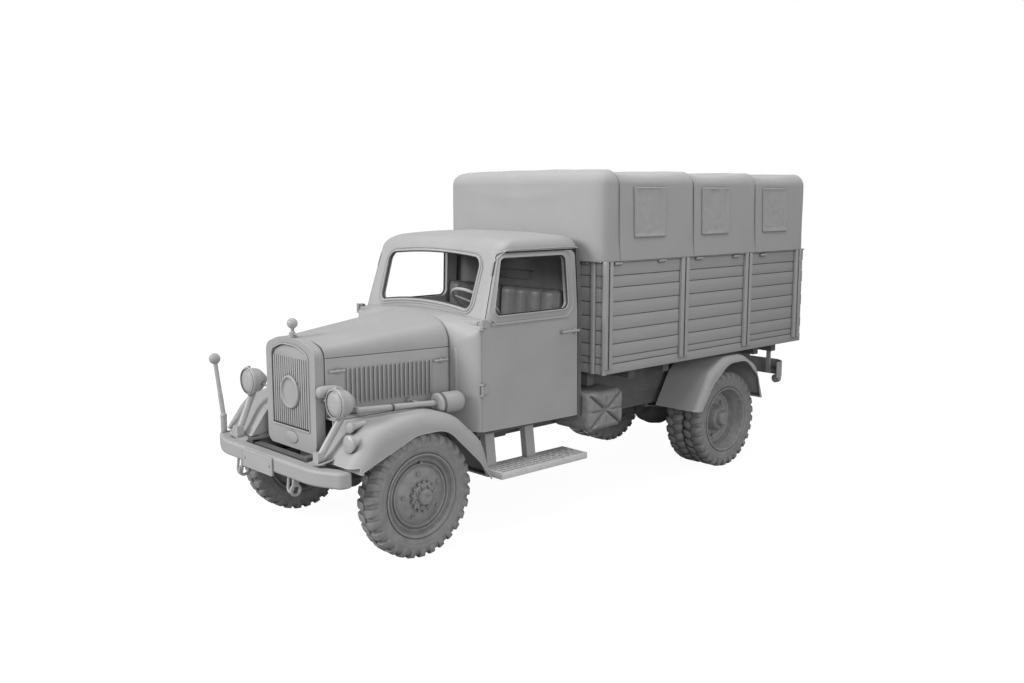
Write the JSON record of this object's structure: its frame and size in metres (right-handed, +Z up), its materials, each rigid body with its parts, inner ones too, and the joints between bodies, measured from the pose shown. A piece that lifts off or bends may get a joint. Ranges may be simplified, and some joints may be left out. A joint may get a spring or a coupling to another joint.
{
  "type": "military cargo truck",
  "caption": "Three-ton bonneted cargo truck with a steel cab, steered front wheels, twin rear wheels, high plank-sided bed, drop gate and canvas cover.",
  "frame": {"origin": "on the ground under the middle of the truck's length and width", "axes": "+X to the truck's left, +Y to its tail, +Z up"},
  "size_m": [2.04, 5.856, 2.8893],
  "materials": {
    "paint": "matt",
    "chassis_paint": "matt",
    "tyre": "matt",
    "canvas": "woven",
    "planks": "painted matt",
    "leather": "satin",
    "bright": "satin"
  },
  "bodies": {
    "chassis": {"frame": "chassis_paint", "front_axle": "chassis_paint", "rear_axle": "chassis_paint", "leaf_springs": "chassis_paint", "drivetrain": "chassis_paint", "engine": "chassis_paint", "exhaust": "chassis_paint", "fuel_tank": "paint", "toolbox": "paint", "front_bumper": "paint", "number_plate": "bright", "marker_rod": "paint", "radiator_shell": "paint", "grille": "paint", "radiator_cap": "bright", "hood_sides": "paint", "cowl": "paint", "screen_frame": "paint", "cab_roof": "paint", "cab_back": "paint", "cab_floor": "chassis_paint", "seat": "leather", "steering_column": "chassis_paint", "front_fenders": "paint", "rear_fenders": "paint", "steps": "paint", "headlamps": "bright", "fender_lamps": "bright", "horn": "paint", "air_canister": "paint", "bed_floor": "planks", "bed_bearers": "planks", "bed_sides": "planks", "bed_front": "planks", "cover": "canvas", "bows": "chassis_paint", "rear_bumper": "paint"},
    "hood_left": {"hood_left": "paint"},
    "hood_right": {"hood_right": "paint"},
    "door_left": {"door_left": "paint"},
    "door_right": {"door_right": "paint"},
    "tailgate": {"tailgate": "planks"},
    "steering_wheel": {"steering_wheel": "bright"},
    "knuckle_left": {"knuckle_left": "chassis_paint"},
    "knuckle_right": {"knuckle_right": "chassis_paint"},
    "tie_rod": {"tie_rod": "chassis_paint"},
    "front_wheel_left": {"front_tyre_left": "tyre", "front_rim_left": "paint"},
    "front_wheel_right": {"front_tyre_right": "tyre", "front_rim_right": "paint"},
    "rear_wheels_left": {"rear_tyres_left": "tyre", "rear_rims_left": "paint"},
    "rear_wheels_right": {"rear_tyres_right": "tyre", "rear_rims_right": "paint"}
  },
  "joints": [
    {"name": "hood_left_lift", "type": "hinge", "parent": "chassis", "child": "hood_left", "pos_m": [0, -2.581, 1.612], "axis": [0, -0.9912, -0.1322], "range_deg": [0, 70]},
    {"name": "hood_right_lift", "type": "hinge", "parent": "chassis", "child": "hood_right", "pos_m": [0, -2.581, 1.612], "axis": [0, 0.9912, 0.1322], "range_deg": [0, 70]},
    {"name": "door_left_swing", "type": "hinge", "parent": "chassis", "child": "door_left", "pos_m": [0.836, -1.464, 1.4], "axis": [0, 0, -1], "range_deg": [0, 68]},
    {"name": "door_right_swing", "type": "hinge", "parent": "chassis", "child": "door_right", "pos_m": [-0.836, -1.464, 1.4], "axis": [0, 0, 1], "range_deg": [0, 68]},
    {"name": "tailgate_drop", "type": "hinge", "parent": "chassis", "child": "tailgate", "pos_m": [0, 2.914, 1.178], "axis": [-1, 0, 0], "range_deg": [0, 175]},
    {"name": "steer_left", "type": "hinge", "parent": "chassis", "child": "knuckle_left", "pos_m": [0.665, -2.126, 0.474], "axis": [0, 0, 1], "range_deg": [-30, 30]},
    {"name": "steer_right", "type": "hinge", "parent": "chassis", "child": "knuckle_right", "pos_m": [-0.665, -2.126, 0.474], "axis": [0, 0, 1], "range_deg": [-30, 30]},
    {"name": "tie_rod_pivot", "type": "hinge", "parent": "knuckle_left", "child": "tie_rod", "pos_m": [0.665, -1.966, 0.379], "axis": [0, 0, 1], "range_deg": [-31, 31]},
    {"name": "steering_wheel_turn", "type": "hinge", "parent": "chassis", "child": "steering_wheel", "pos_m": [0.39, -1.141, 1.79], "axis": [0, 0.6157, 0.788], "range_deg": [-365, 365]},
    {"name": "front_spin_left", "type": "hinge", "parent": "knuckle_left", "child": "front_wheel_left", "pos_m": [0.826, -2.126, 0.474], "axis": [1, 0, 0], "continuous": true},
    {"name": "front_spin_right", "type": "hinge", "parent": "knuckle_right", "child": "front_wheel_right", "pos_m": [-0.826, -2.126, 0.474], "axis": [1, 0, 0], "continuous": true},
    {"name": "rear_spin_left", "type": "hinge", "parent": "chassis", "child": "rear_wheels_left", "pos_m": [0.7355, 1.674, 0.474], "axis": [1, 0, 0], "continuous": true},
    {"name": "rear_spin_right", "type": "hinge", "parent": "chassis", "child": "rear_wheels_right", "pos_m": [-0.7355, 1.674, 0.474], "axis": [1, 0, 0], "continuous": true}
  ],
  "couplings": [
    {"joint": "steer_right", "follows": "steer_left", "ratio": 1},
    {"joint": "tie_rod_pivot", "follows": "steer_left", "ratio": -1},
    {"joint": "steering_wheel_turn", "follows": "steer_left", "ratio": 12}
  ]
}
